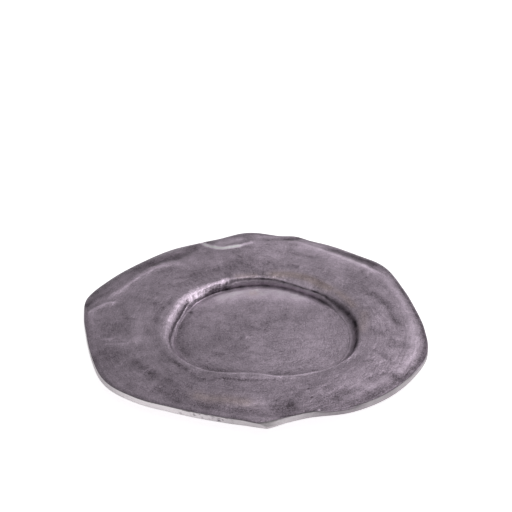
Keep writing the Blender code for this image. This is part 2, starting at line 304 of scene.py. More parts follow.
# Lighter (+) and darker (-) patches: patina, with painted highlights where folds and ridges face the
# key light and painted shade where they face away:
TONE = (
    # crescent fold, a painted highlight along it
    (((-62, 154), (-56.5, 148), (-51.5, 144), (-45, 141), (-38, 140), (-30, 140.5),
      (-22, 141.5)), 2.2, 2.5, 2.4, 0.4),
    (((-27, 141), (-18, 143), (-14, 144.5), (-8, 148)), 0.9, 2.0, 1.8, 0.2),
    (((-61.5, 144.5), (-54.5, 145)), 0.3, 1.5),
    # facet behind it, painted light on its face
    (((-57, 153), (-46.5, 150.5)), -0.3, 2.6),
    (((-45.5, 149), (-32, 151), (-18, 154.5)), 0.7, 7, 8),
    (((-30, 158.5), (-15, 161)), -0.25, 1.6), (((-26, 152), (-14, 154)), 0.3, 1.6),
    # back border
    (((-8, 156.5), (8, 159), (20, 161)), 0.4, 4.5), (((2, 154.5), (8, 153)), -0.3, 2.6),
    # back left: painted shade on the hollow behind the ridge, painted highlights along the ridge
    (((-126.5, 97.5), (-117.5, 106.5), (-109.5, 113), (-99.5, 119.5), (-89.5, 125),
      (-79.5, 131), (-70.5, 140.5), (-62.5, 147)), -0.72, 6.2),
    (((-89.5, 120.5), (-80.5, 121)), -0.35, 1.8),
    (((-100, 137), (-85, 147), (-70, 151)), 0.2, 2.5),
    (((-149.5, 47.5), (-138.5, 62.5), (-129.5, 76.5)), 0.3, 2.5),
    (((-129.5, 76.5), (-123.5, 83.5), (-114, 95), (-107.5, 101), (-101.5, 106),
      (-95.5, 109.5)), 0.5, 1.9),
    (((-127.5, 84), (-119.5, 93), (-111.5, 102), (-104.5, 107)), 0.5, 1.4),
    (((-102.5, 109.5), (-91, 112.5), (-80.5, 110.5)), 0.36, 6),
    (((-99.5, 97.5), (-87.5, 101.5)), -0.2, 9), (((-75.5, 132), (-61.5, 140)), 0.16, 5),
    # back
    (((-70, 90), (-50, 102.5), (-38, 107.5), (-20, 110), (-2, 110), (8, 108)), -0.34, 14, 13),
    (((-46, 98.5), (-38, 106)), -0.2, 5, 6), (((-70, 86), (-60, 96)), -0.15, 6),
    (((-54, 126), (-48, 121.5)), -0.2, 6), (((-25, 126.5), (-20, 122.5)), -0.35, 1.4),
    (((7, 119), (10, 112)), -0.3, 5),
    # back shoulder: painted highlight on it, with darker marks
    (((-29, 90), (-22, 92), (-10, 93.5), (-2, 94.5)), 0.12, 4, 4.5),
    (((-6, 95.5), (-4, 91)), 0.08, 3), (((9, 92), (17, 92), (25, 90.5)), 0.2, 3),
    (((1, 100.5), (2, 90)), -0.3, 2.5), (((-36, 97.5), (-31, 92)), -0.3, 3),
    # long right ridge: painted highlights along its inner side, painted shade on the strips outside
    # it
    (((18, 151.5), (30.5, 152.5), (40, 149.5), (51, 144), (64, 135), (79, 124.5), (94, 114),
      (105, 105.5), (116.5, 94)), 0.5, 2.6, 2.0),
    (((43.5, 146.5), (51, 142), (64, 133.5), (79, 123.5), (94, 112.5), (105, 104),
      (118.5, 91)), 0.4, 5.5, 3),
    (((35.5, 142.5), (51.5, 136), (67.5, 125), (83.5, 113), (97.5, 100.5)), 0.2, 6.5, 6),
    (((37.5, 143), (49.5, 139.5)), 0.2, 3.5),
    (((115.5, 94), (121.5, 82.5), (127.5, 68.5), (132, 54), (135, 35), (138, 14.5),
      (139, -6), (138, -23.5), (133, -42), (124, -59.5)), 0.45, 5.5, 3.5),
    (((22, 156.5), (39.5, 158)), -0.6, 2.6, 2.2),
    (((69.5, 139.5), (79.5, 133.5), (91.5, 126), (103.5, 117.5), (116.5, 107)), -0.8, 4.2),
    (((43.5, 152.5), (53.5, 148.5), (63.5, 144)), 0.3, 2.6),
    (((83.5, 121), (93.5, 113.5), (103.5, 106), (112.5, 97.5)), 0.3, 4, 2.4),
    # back right dimples
    (((42, 127), (47.5, 125.5), (52.5, 124)), -0.32, 2.4),
    (((30, 131.5), (39, 129.5)), -0.26, 3), (((24, 110.5), (31, 109), (37, 106)), -0.32, 3.5),
    (((62, 106), (83.5, 103.5)), 0.1, 10),
    # right hook
    (((101, 59), (107, 60), (112, 54), (117, 44.5), (120, 34.5), (121, 26), (125, 14),
      (129, 6)), -0.42, 4.4),
    (((103, 59), (108, 58), (112, 53)), -0.4, 4.5),
    (((115, 47.5), (119, 40.5), (121, 32.5)), -0.45, 4.5), (((123, 16), (127, 9)), -0.2, 2.4),
    # right
    (((99, 1), (107, -4.5), (112, -8.5)), -0.46, 5),
    (((112, -9.5), (117, -14.5), (120, -20.5)), -0.2, 3.5, 3),
    (((98, -33), (103, -37)), -0.5, 3), (((106, -39), (110, -43.5), (113, -50)), -0.55, 2.8),
    (((113, -50), (118, -58)), -0.2, 3), (((93, -79), (97, -75.5)), -0.55, 2.6),
    (((99, -75), (104, -71.5), (109, -68)), -0.45, 2.6),
    (((115, -66.5), (118, -73.5), (121, -79)), -0.4, 3), (((121, -61.5), (124, -69)), 0.3, 3),
    (((88, -95.5), (98, -88.5), (106, -80.5)), 0.2, 4), (((38, -103), (52, -95.5)), 0.15, 5),
    (((62, -110), (66, -101), (72, -97)), -0.34, 6), (((66, -96), (77, -98.5)), -0.2, 5),
    (((80, -108), (88, -104), (94, -98)), -0.26, 5), (((44, -113), (60, -114)), -0.18, 4),
    (((64, -117.5), (80, -112.5)), -0.22, 4),
    # front right border
    (((120, -75), (108, -88.5), (96, -99), (86, -107)), -0.22, 4, 3.5),
    # front thumb mark
    (((21, -109.5), (23, -114.5), (24, -120.5)), -0.42, 4.5),
    (((20, -105.5), (22, -115.5), (24, -125)), -0.22, 9), (((4, -120.5), (17, -124.5)), -0.34, 6),
    # front border and rim: painted shade along the front border
    (((-62, -115), (-50, -118), (-34, -121), (-22, -124), (0, -127), (16, -129),
      (27, -125.5)), -0.46, 6, 4),
    (((-22, -125), (-10, -126.5), (2, -126.5)), -0.3, 1.4),
    (((-18, -118.5), (-8, -116), (5, -112)), 0.3, 4), (((18, -76), (18, -92)), -0.22, 1.6),
    # front left dent, wedge and hollow
    (((-116, -50.5), (-108, -64.5)), -0.26, 10),
    (((-100, -68.5), (-97, -73.5), (-94, -77.5)), -0.6, 2.8, 2.4),
    (((-103, -67), (-95, -80.5)), -0.34, 9),
    (((-112, -86.5), (-101, -84.5), (-91, -82)), 0.22, 2),
    (((-112, -76.5), (-108, -70.5)), 0.14, 5), (((-115, -70.5), (-110, -65.5)), 0.12, 2),
    (((-98, -92), (-84, -100.5), (-68, -109.5)), -0.4, 11, 8),
    (((-84, -86), (-72, -97)), -0.14, 10), (((-64, -99), (-48, -107), (-28, -110.5)), 0.16, 7),
    (((-33, -104), (-26, -105.5)), -0.35, 1.6),
    # left elbow
    (((-166, 26), (-160, 32), (-154.5, 37.5), (-149.5, 41.5), (-145.5, 43.5), (-138.5, 43)),
     0.6, 2.0),
    (((-163, 23), (-160, 32.5)), 0.25, 4, 3), (((-162, 28), (-161, 19), (-158, 7.5)), 0.22, 3),
    (((-168, 40.5), (-162, 47.5), (-154.5, 58.5)), -0.45, 3.6),
    (((-162, 41.5), (-153.5, 49.5)), 0.14, 2), (((-151.5, 57.5), (-143.5, 69.5)), -0.2, 3),
    # left
    (((-145, 11), (-145, -6)), -0.2, 9), (((-129, 13), (-129, -10.5)), -0.2, 9),
    (((-131, 17), (-124, 16.5), (-118, 14)), -0.3, 2.6), (((-158, 15), (-150, 15)), -0.25, 2.2),
    (((-137, 11), (-137, -2.5)), -0.1, 1.8), (((-140, -2.5), (-129, -4)), -0.15, 2.5),
    (((-151, -8), (-140, -12.5)), -0.18, 3.5), (((-116, 23), (-114, 3), (-114, -19)), 0.14, 8),
    (((-119, -21), (-110, -18)), 0.5, 8), (((-101, 44.5), (-100, 28), (-99, 8)), -0.3, 4.5),
    (((-107, 5.5), (-104, -14.5)), -0.24, 4.5),
    (((-149, -17), (-142, -16.5), (-136, -17)), 0.5, 1.5), (((-131, -18.5), (-120, -21)), 0.24, 1.6),
    (((-144, -24.5), (-134, -25), (-126, -25)), 0.34, 1.5),
    (((-148, -34.5), (-134, -48)), -0.3, 14),
    (((-118, -37), (-104, -52.5), (-92, -66.5)), 0.14, 8),
    # floor: a painted reflection of the back wall along the back, darker in the middle
    (((-50, 60), (-28, 72), (0, 77), (28, 72), (52, 58)), 1.15, 17, 10),
    (((-28, 2), (0, -4), (26, 2)), -0.1, 26),
    # back right shoulder, painted highlight along the right ridge, and back of the rim
    (((38, 91.5), (52, 84.5), (64, 73.5)), -0.25, 5),
    (((139, 13.5), (140, -6), (139, -23.5), (133, -42)), 0.2, 8, 6),
    (((12, 124), (42, 120.5)), 0.14, 10), (((-83.5, 107), (-66, 121)), 0.1, 10),
    # floor
    (((-16, 15), (-6, 13), (0, 9), (6, 4)), -0.26, 3), (((6, -6), (14, -11)), -0.2, 6),
    (((-34, -17), (-27, -24)), -0.25, 5), (((-46, -29), (-35, -31)), -0.25, 5),
    (((-27, -43), (-20, -50)), 0.2, 4), (((-10, -30), (-6, -36)), 0.18, 4),
    (((-8, 18), (-2, 14)), 0.15, 3), (((-10, -6), (-9, -26)), 0.12, 3.5),
    (((-20, -2), (-19, -7)), -0.25, 1.8),
    # floor, dark along the front and left
    (((-64, -42), (-50, -52), (-30, -58), (-8, -60), (14, -63), (34, -60), (54, -52)),
     -0.38, 6, 7),
    (((-70, 54), (-77, 28), (-79, 0), (-76, -20), (-67, -38)), -0.55, 8, 4),
    (((52, -42), (64, -28)), -0.12, 12), (((-45, -5), (-40, -20)), -0.1, 20),
)
# Where the patina is browner:
WARM = (
    (((6, 95.5), (24, 94.5), (36, 91.5), (48, 85.5), (58, 76), (70, 66)), 1.3, 7, 6),
    (((72, 64), (82, 48), (88, 34)), 0.8, 5, 6),
    (((-62, -101), (-48, -108), (-28, -110.5), (-8, -115)), 0.75, 8, 7),
    (((-27, 91), (-3, 94)), 0.6, 5), (((-12, 72), (-4, 74)), 0.6, 6),
    (((97, 29.5), (95, 9.5), (92, -7.5)), 0.5, 7, 6),
)
# pits and bright nicks: x, y, radius, strength
SPOTS = (
    (-68, 39, 2.2, -0.7), (-57, -39, 2.0, -0.5), (-25, 33, 1.3, -0.3), (-25, 28, 1.3, -0.3),
    (33, -54, 1.4, -0.5), (-5, 79, 1.2, 0.9), (3, 9, 1.3, -0.3), (1, -4, 1.4, -0.35),
    (41, -89, 0.9, -0.45), (40, -95, 1.0, -0.5), (43, -107, 1.0, -0.6),
    (102.5, 87.5, 1.3, -0.5), (130, -3.5, 1.3, -0.5), (127, -10.5, 1.3, -0.4),
    (116, -3.5, 1.3, -0.4), (-74, -60, 2.0, -0.4), (-78, -56, 2.0, -0.35),
    (-68, -65, 2.0, -0.3), (-52, -81.5, 1.6, -0.35), (-83, -52, 1.5, -0.3),
    (-60, -73.5, 1.5, -0.25), (-88, 43, 2.8, -0.5), (-103, 41, 2.0, -0.3),
    (-94, 34.5, 2.4, -0.4), (-80, 87.5, 1.6, -0.4), (48, -125.5, 1.6, 1.6),
    # (-14, -2) is a painted highlight on the pimple of the floor
    (-14, -2, 2.6, 0.35), (35.5, 145.5, 1.2, -0.4), (103.5, 96.5, 2.5, 0.3),
    (99.5, 98, 1.5, -0.3), (22, -118.5, 1.6, -0.3), (120, 36.5, 1.8, -0.25),
)


# --- curves ------------------------------------------------------------------------
def around(table, deg, column=1):
    """Smooth closed curve through an offset table."""
    rows = np.array(table, float)
    angles = np.concatenate([rows[:, 0] - 360, rows[:, 0], rows[:, 0] + 360])
    values = np.tile(rows[:, column], 3)
    slope = np.zeros_like(values)
    slope[1:-1] = (values[2:] - values[:-2]) / (angles[2:] - angles[:-2])
    deg = np.mod(deg, 360.0)
    i = np.clip(np.searchsorted(angles, deg, side="right") - 1, 1, len(angles) - 3)
    step = angles[i + 1] - angles[i]
    s = (deg - angles[i]) / step
    return (
        (1 + 2 * s) * (1 - s) ** 2 * values[i]
        + s * (1 - s) ** 2 * step * slope[i]
        + s * s * (3 - 2 * s) * values[i + 1]
        + s * s * (s - 1) * step * slope[i + 1]
    )


def straight(table, where, column=1, **ends):
    """Straight lines through a table."""
    rows = np.array(table, float)
    return np.interp(where, rows[:, 0], rows[:, column], **ends)


def ease(t):
    return t * t * (3 - 2 * t)


def smooth(start, end, x):
    """0 at start, 1 at end, eased; start may be the larger."""
    return ease(np.clip((x - start) / (end - start), 0, 1))


def window(x, start, full, fade, end):
    """Rises from start to full, falls from fade to end."""
    return smooth(start, full, x) * smooth(end, fade, x)


def bell(distance, half, sharpness=1):
    return np.exp(-sharpness * (distance / half) ** 2)


def arch(t):
    return RIM_ARCH * 4 * t * (1 - t)


# --- seeded gradient noise ------------------------------------------------------
PERM = np.random.default_rng(20).permutation(512)
ANGLE = np.random.default_rng(21).uniform(0, 2 * np.pi, 512)


def noise(u, v, seed, wrap=0):
    """Gradient noise, about -1 to 1; wrap closes it after that many cells in u."""
    iu, iv = np.floor(u).astype(int), np.floor(v).astype(int)
    fu, fv = u - iu, v - iv
    su, sv = fu**3 * (fu * (fu * 6 - 15) + 10), fv**3 * (fv * (fv * 6 - 15) + 10)

    def corner_value(du, dv):
        cell = iu + du
        if wrap:
            cell = cell % wrap
        k = PERM[(PERM[(cell + 131 * seed) % 512] + iv + dv) % 512]
        return np.cos(ANGLE[k]) * (fu - du) + np.sin(ANGLE[k]) * (fv - dv)

    near = corner_value(0, 0) * (1 - su) + corner_value(1, 0) * su
    far = corner_value(0, 1) * (1 - su) + corner_value(1, 1) * su
    return 1.5 * (near * (1 - sv) + far * sv)


def layered(u, v, seed, octaves=2):
    """Noise with finer, weaker octaves added."""
    total = 0
    for k in range(octaves):
        total = total + 0.5**k * noise(u * 2**k + 17.3 * k, v * 2**k - 9.1 * k, seed + k)
    return total


def lumps(x, y, *layers, octaves=2):
    """Sum of noise layers, each (height, size of a cell, seed)."""
    return sum(height * layered(x / size, y / size, seed, octaves)
               for height, size, seed in layers)


# --- pressed marks, and patches of patina and painted light -----------------------
def spline(path):
    """Even smooth samples along a listed path."""
    p = np.array(path, float)
    if len(p) == 2:
        return np.linspace(p[0], p[1], 6)
    q = np.vstack([2 * p[0] - p[1], p, 2 * p[-1] - p[-2]])
    out = []
    per_span = max(3, int(28 / (len(p) - 1)))
    for k in range(1, len(q) - 2):
        a, b, c, d = q[k - 1 : k + 3]
        for t in np.linspace(0, 1, per_span, endpoint=False):
            out.append(0.5 * (2 * b + (c - a) * t + (2 * a - 5 * b + 4 * c - d) * t * t
                              + (3 * b - a - 3 * c + d) * t**3))
    out.append(p[-1])
    return np.array(out)


FADE = 0.18  # share of a mark's length over which each end fades


def mark(x, y, path, inner, outer=None, shift=0.0):
    """Strength 0 to 1 of a soft mark along a path: a bell across it, maybe wider on
    one side, shifted outwards, and faded at both ends."""
    outer = inner if outer is None else outer
    pts = spline(path)
    reach = 3.2 * max(inner, outer) + abs(shift)
    near = ((x > pts[:, 0].min() - reach) & (x < pts[:, 0].max() + reach)
            & (y > pts[:, 1].min() - reach) & (y < pts[:, 1].max() + reach))
    out = np.zeros(x.shape)
    if not near.any():
        return out
    xs, ys = x[near], y[near]
    best = np.full(xs.shape, 1e9)
    side = np.zeros(xs.shape)
    along = np.zeros(xs.shape)
    length = np.concatenate([[0], np.cumsum(np.hypot(*np.diff(pts, axis=0).T))])
    for k in range(len(pts) - 1):
        (x0, y0), (x1, y1) = pts[k], pts[k + 1]
        dx, dy = x1 - x0, y1 - y0
        s = np.clip(((xs - x0) * dx + (ys - y0) * dy) / (dx * dx + dy * dy + 1e-9), 0, 1)
        px, py = x0 + s * dx, y0 + s * dy
        distance = np.hypot(xs - px, ys - py)
        closer = distance < best
        side = np.where(closer, np.sign((xs - px) * px + (ys - py) * py), side)
        along = np.where(closer, length[k] + s * (length[k + 1] - length[k]), along)
        best = np.where(closer, distance, best)
    u = along / length[-1]
    fade = smooth(0, FADE, u + 0.35 * FADE) * smooth(0, FADE, 1 - u + 0.35 * FADE)
    s = best * side - shift
    out[near] = fade * bell(s, np.where(s > 0, outer, inner), 1.6)
    return out


def marks(x, y, table, patchy=1):
    """Sum of a table of marks; patchy scales the negative ones."""
    total = 0
    for path, strength, *widths in table:
        share = patchy if strength < 0 else 1
        total = total + strength * share * mark(x, y, path, *widths)
    return total


# --- the top of the casting -------------------------------------------------------
def wall_height(share, deg):
    """Height above the floor of an 8 mm wall, at a share of its run."""
    weight = np.stack([around(WALL_ZONES, deg, c) for c in WALL_COLUMNS])
    weight = np.clip(weight, 0, None)
    weight = weight / weight.sum(0)
    heights = np.stack([straight(WALL_TABLE, share, c) for c in WALL_COLUMNS])
    return (weight * heights).sum(0)


def ring_line(r, deg, table, inner, outer):
    """Strength of a fine line that runs round the well, a bell across it."""
    s = r - around(table, deg)
    strength = straight(table, deg, 2, left=0, right=0)
    return strength * bell(s, np.where(s > 0, outer, inner), 1.6)


def corner(deg, down):
    """Where to read the outline: the front corner was ground askew, so it lies
    further round at the foot of the edge (down 1) than at the rim (down 0)."""
    return deg + 1.7 * (1 - 2 * down) * bell(deg - 269.5, 7)


def outline(deg, down=0.0):
    return around(OUTLINE, corner(deg, down))


def point(deg, down=0.0):
    """The sharp tip of that corner, added to the outline."""
    return 1.2 * np.exp(-np.abs(corner(deg, down) - 270) / 2.2)


def pimple(x, y):
    """Small pimple near the middle of the floor."""
    return 0.6 * bell(np.hypot(x + 15, (y + 3) * 0.9), 3.1)


def survey(r, deg, zone):
    """What the height and the patina need to know about one ring of the top. zone is
    the part of the section it belongs to: floor, wall or rim."""
    at = SimpleNamespace(r=r, deg=deg, zone=zone, rim=zone == "rim")
    at.x, at.y = r * np.cos(np.radians(deg)), r * np.sin(np.radians(deg))
    floor_edge, well_edge, edge = around(FLOOR_EDGE, deg), around(WELL_EDGE, deg), outline(deg)
    at.off_floor = r - floor_edge
    at.off_well = r - well_edge
    at.to_edge = edge - r
    at.share = at.off_floor / (well_edge - floor_edge)  # of the wall's run
    at.across = np.clip(at.off_well / (edge - well_edge), 0, 1)  # of the rim
    at.past = np.clip(at.off_well, 0, None)
    at.border = np.clip(1 - at.to_edge / around(BORDER_WIDTH, deg), 0, 1)
    front = np.clip(around(WALL_ZONES, deg, FRONT), 0, 1) + window(deg, 205, 225, 235, 255)
    at.front = np.clip(front, 0, 1)
    at.lip = np.maximum(at.front, window(deg, 290, 305, 332, 340))
    # hand work: nothing follows its path exactly
    at.wobbly_x = at.x + lumps(at.x, at.y, (0.9, 11, 71), (0.4, 4, 73), octaves=1)
    at.wobbly_y = at.y + lumps(at.x, at.y, (0.9, 11, 75), (0.4, 4, 77), octaves=1)
    at.spots = sum(strength * bell(np.hypot(at.x - x, at.y - y), size)
                   for x, y, size, strength in SPOTS)
    # lines round the well
    cut_width = 0.8 + 0.6 * smooth(165, 178, deg)
    ragged = 1 + 0.5 * noise(deg / 1.6, r / 3, seed=61)
    at.bead = ring_line(r, deg, BEAD, 1.3, 1.2)
    at.cut = ring_line(r, deg, CUT, cut_width, cut_width)
    at.ragged_cut = at.cut * ragged
    at.outer_hollow = ring_line(r, deg, OUTER_HOLLOW, 3.2, 4.0) * ragged
    at.lip_hollow = ring_line(r, deg, LIP_HOLLOW, 1.8, 2.4) * ragged
    return at


def formed_height(at):
    """The top as formed, before hand work."""
    drop = around(SHOULDER_DROP, at.deg)
    lift = around(LIP_LIFT, at.deg)
    crest = 0.32 * at.lip + 0.22 * np.clip(at.lip - at.front, 0, 1)
    if not at.rim:
        rise = RIM_Z + lift - drop + crest - FLOOR_Z
        return FLOOR_Z + wall_height(np.clip(at.share, -0.6, 1), at.deg) * rise / WELL_DEPTH
    border_drop = around(BORDER_DROP, at.deg)
    border_rise = around(EDGE_HEIGHT, at.deg) + border_drop - RIM_Z
    shoulder = np.clip(1 - at.past / around(SHOULDER_WIDTH, at.deg), 0, 1)
    z = RIM_Z + lift * bell(at.past, 9) + border_rise * ease(at.across) + arch(at.across)
    z = z - drop * shoulder**2 - border_drop * at.border**1.8
    return z + crest * np.exp(-at.past / 1.3)


def top_height(at):
    """The top with its unevenness, folds, hollows, spots and lines."""
    z = formed_height(at)
    fine = lumps(at.x, at.y, (0.045, 5, 11))
    z = z + fine * (0.6 if at.zone == "wall" else 1.0)
    if at.rim:
        worked = lumps(at.x, at.y, (0.36, 52, 3), (0.15, 19, 7), (0.07, 9, 9))
        z = z + smooth(0, 6, at.off_well) * (1 - 0.6 * at.border) * worked
        lumpy = 0.22 * layered(at.deg / 7.5, at.r / 30, seed=23)
        z = z + lumpy * window(at.off_well, -2, 3, 0, 14)
        folds = marks(at.wobbly_x, at.wobbly_y, RELIEF)
        z = z + folds * (0.3 + 0.7 * smooth(0, 4, at.off_well))
    if at.zone == "floor":
        uneven = lumps(at.x, at.y, (0.07, 40, 15), (0.045, 13, 19))
        z = z + uneven * smooth(0, 6, -at.off_floor) + pimple(at.x, at.y)
    scuffed = window(at.deg, 60, 66, 140, 152) + 0.4 * window(at.deg, 225, 235, 275, 285)
    scuffed = scuffed * smooth(2, 8, at.off_floor) * smooth(24, 10, at.off_well)
    z = z + 0.10 * scuffed * noise(at.deg / 1.1, at.r / 7, seed=27)
    z = z + 0.25 * at.spots
    return z + 0.5 * at.bead - 0.75 * at.ragged_cut - 0.2 * at.outer_hollow - 0.2 * at.lip_hollow


def patina_and_light_tone(at, high):
    """Lighter (+) or darker (-): patina, with painted highlights and painted shade; high is the share
    of the way up the well.
    """
    patchy = np.clip(1 + lumps(at.x, at.y, (0.12, 8, 79)), 0.4, 1.6)
    tone = marks(at.wobbly_x, at.wobbly_y, TONE, patchy)
    # painted shade towards the front and the right
    tone = tone - around(PAINTED_FALLOFF, at.deg) * smooth(-3, 3, at.off_well)
    darkest = 0.56
    tone = np.where(tone < 0, -darkest * np.tanh(-tone / darkest), tone)
    # radial brush strokes over the back shoulder and the hollow behind it
    brushed = window(at.deg, 60, 75, 145, 155)
    brushed = brushed * smooth(2, 6, at.off_floor) * smooth(38, 18, at.off_well)
    tone = tone + 0.22 * brushed * noise(at.deg / 1.15, at.r / 10, seed=81)
    # where the wall was smeared smooth: a streaked painted highlight along the shoulder and on the
    # steep wall beside it, streaked darker below it
    smeared_zone = window(at.deg, 109, 113, 142, 149)
    streak = noise((at.deg + 0.5 * at.r) / 1.3, at.r / 12, seed=87)
    off_band = np.abs(at.off_well - 0.6 + 2.6 * smooth(125, 131, at.deg))
    tone = tone + smeared_zone * smooth(4, 0.8, off_band) * (0.18 + 0.35 * streak)
    below = smooth(131, 125, at.deg) * smooth(0, -2, at.off_well) * smooth(-0.1, 0.2, at.share)
    tone = tone + smeared_zone * below * (-0.5 + 0.5 * streak)
    beside = (1 - below) * smooth(0.5, -1, at.off_well) * (at.off_floor > 0)
    tone = tone + smeared_zone * beside * 0.4 * streak
    tone = tone + at.spots - 0.35 * at.outer_hollow - 0.3 * at.lip_hollow
    if at.rim:
        # painted shade along the border where the rim rolls off
        middle, half, strength = (around(BORDER_SHADE, at.deg, c) for c in (1, 2, 3))
        strip = np.clip(strength, 0, 1) * bell(at.to_edge - middle, half, 1.3)
        return tone - 0.8 * strip * (1 + 0.25 * noise(at.deg / 2.5, at.r / 5, seed=63))
    # painted highlight along the crest of the bead
    tone = tone + 0.35 * at.bead
    if at.zone == "wall":
        back = np.clip(around(WALL_ZONES, at.deg, BACK), 0, 1)
        tone = tone + 0.08 * back * window(high, 0.2, 0.35, 0.6, 0.72)
    return tone


def top_dirt_and_shade(at, high):
    """Painted shade in the cut line and along the steep wall, dirt and painted shade at the foot of
    the wall, and a dark line along the outer edge of the rim, stronger towards the front.
    """
    # painted shade in the cut line
    dirt_and_shade = 0.75 * at.cut
    if at.rim:
        along_edge = bell(at.to_edge - 0.6, 0.8) * (0.3 + 0.7 * smooth(-10, -60, at.y))
        return dirt_and_shade + 0.28 * along_edge
    clumps = 1 + 0.4 * layered(at.x / 9.3, at.y / 9.3, seed=65, octaves=3)
    middle, half, strength = (straight(LEDGE_SHADE, at.deg, c, period=360) for c in (1, 2, 3))
    middle = middle + lumps(at.x, at.y, (0.05, 7.1, 69))
    ledge = strength * bell(at.share - middle, half)
    foot_half = 0.17 + lumps(at.x, at.y, (0.07, 7.7, 85))
    foot = straight(FOOT_DIRT_AND_SHADE, at.deg) * bell(high - 0.13, foot_half) * (at.share < 0.3)
    return dirt_and_shade + (ledge + foot) * np.clip(clumps, 0, 2) * (at.off_floor > -4)


def top_wear_and_highlight(at):
    """Metal rubbed bare along the rim of the well, and a painted highlight along the crest of the
    front lip.
    """
    wear_and_highlight = bell(at.past, 1.3) * (0.25 + 0.55 * at.lip) + 0.3 * at.front * bell(at.past, 6)
    return wear_and_highlight * at.rim


# --- rings of the section -----------------------------------------------------------
# ground edge: inset from the outline, height from its top corner
EDGE_PROFILE = (
    (0.35, 0.12), (0.1, 0.0), (0.0, -0.25), (0.0, -0.9), (0.0, -1.7), (0.0, -2.3),
    (0.0, -3.8), (0.0, 0.7 - EDGE_BAND), (0.45, -EDGE_BAND),
)
# underside of the well: distance outside its edge, height from the rim's underside
FOOT_BEND = ((12, 0.1), (8.5, -0.35), (5.2, -1.4), (2.4, -3.2), (0.0, -5.0))
# then distance outside the edge of the floor, height above the foot
FOOT_CORNER = ((3.0, 1.9), (1.4, 0.7), (0.2, 0.0))
NEAR_REACH = 9.8  # the rings near the well end this far outside it
LAST_REACH = 9.6  # the last rings start this far inside the outline


def section_rings():
    """Rings of the section from the middle of the floor out to the ground edge,
    down it, and back under to the middle of the foot. Each is (kind, value)."""
    runs = (
        ("floor", (0.03, 0.065, 0.1, 0.14, 0.18)),
        ("floor", np.linspace(0.205, 0.42, 12)),
        ("floor", np.linspace(0.437, 0.945, 31)),
        ("floor", (0.957, 0.967, 0.977, 0.985, 0.992)),
        ("wall", np.linspace(0, 0.36, 15)[:-1]),
        ("wall", np.linspace(0.36, 1, 19)[:-1]),
        ("near", (0, 0.4, 0.9, 1.5, 2.2, 3.0, 3.8, 4.6, 5.5, 6.5, 7.5, 8.6, NEAR_REACH)),
        ("rim", np.linspace(0, 1, 47)[1:-1]),
        ("last", (LAST_REACH, 8.4, 7.2, 6.0, 4.9, 3.9, 3.0, 2.2, 1.5, 0.9)),
        ("edge", range(len(EDGE_PROFILE))),
        ("under", (3, 6, 9.5, 13, 17)),
        ("below", np.linspace(0.85, 0.12, 12)),
        ("foot", range(len(FOOT_BEND + FOOT_CORNER))),
        ("sole", (0.9, 0.8, 0.66, 0.5, 0.35, 0.2, 0.09)),
    )
    return [(kind, value) for kind, values in runs for value in values]


def sectors(kind, value):
    """Sectors in a ring: halved towards the middle, where they would crowd."""
    if kind == "floor":
        return 84 if value < 0.2 else 168 if value < 0.43 else 336 if value < 0.95 else 672
    if kind in ("under", "below", "foot"):
        return 336
    if kind == "sole":
        return 168 if value > 0.4 else 84
    return 672


def top_ring(kind, value, deg):
    floor_edge, well_edge, edge = around(FLOOR_EDGE, deg), around(WELL_EDGE, deg), outline(deg)
    zone = "rim"
    if kind == "floor":
        r = floor_edge * value
        zone = "wall" if value > 0.9 else "floor"
    elif kind == "wall":
        r = floor_edge + value * (well_edge - floor_edge)
        zone = "wall"
    elif kind == "near":
        r = well_edge + value
    elif kind == "rim":
        r = (well_edge + NEAR_REACH) * (1 - value) + (edge - LAST_REACH) * value
    else:
        r = edge - value
    at = survey(r, deg, zone)
    z = top_height(at)
    high = np.clip((z - FLOOR_Z) / WELL_DEPTH, 0, 1)
    r = r + point(deg) * smooth(0.4, 1, (r - well_edge) / (edge - well_edge))
    if kind in ("wall", "near"):
        rough = (0.30 * noise(deg / 2.4, z / 2.6, seed=33, wrap=150)
                 + 0.16 * noise(deg / 1.2, z / 1.5, seed=35, wrap=300))
        rough = rough * (1 - 0.7 * np.clip(around(WALL_ZONES, deg, FRONT), 0, 1))
        on_wall = smooth(-0.02, 0.15, (r - floor_edge) / (well_edge - floor_edge))
        r = r + rough * on_wall * smooth(5, 0, r - well_edge)
    return {
        "r": r,
        "z": z,
        "tone": patina_and_light_tone(at, high),
        "dirt_and_shade": np.clip(top_dirt_and_shade(at, high), 0, 1),
        "wear_and_highlight": np.clip(top_wear_and_highlight(at), 0, 1),
        "warm": np.clip(marks(at.x, at.y, WARM), 0, 1),
    }


def edge_ring(step, deg):
    inset, dz = EDGE_PROFILE[step]
    down = np.clip(-dz / EDGE_BAND, 0, 1)
    on_face = 1 <= step <= 7
    r = outline(deg, down) + point(deg, down) - inset - around(EDGE_LEAN, deg) * (1 - down)
    r = r + 0.12 * noise(deg * 48 / 360, step * 0.31, seed=31, wrap=48) * on_face
    # from the lap round to the right the grinding only caught the lower part
    upper = window(deg, 289, 296, 340, 352) * (step <= 4)
    upper = upper * (1 - 0.95 * window(deg, 300, 308, 326, 338))
    # pinholes of the casting that the grinding opened
    holes = window(deg, 236, 244, 260, 264) * (2 <= step <= 6)
    holes = holes * smooth(0.3, 0.6, noise(deg / 1.3, step * 0.8, seed=91))
    lap_grime = {3: 0.15, 4: 0.65}.get(step, 0.0)
    return {
        "r": r,
        "z": around(EDGE_HEIGHT, deg) + dz,
        "ground": around(GROUND, deg) * (1.0 if on_face else 0.4) * (1 - upper) * (1 - holes),
        "tone": -0.35 * upper,
        "dirt_and_shade": window(deg, 290, 293, 302, 309) * lap_grime + 0.7 * holes,
        "wear_and_highlight": (0.8 if step in (1, 2, 8) else 0.0) * (1 - upper),
    }


def widened(table, deg):
    """An offset table averaged over 24 degrees each way."""
    return sum(around(table, deg + k) for k in range(-24, 25, 6)) / 9


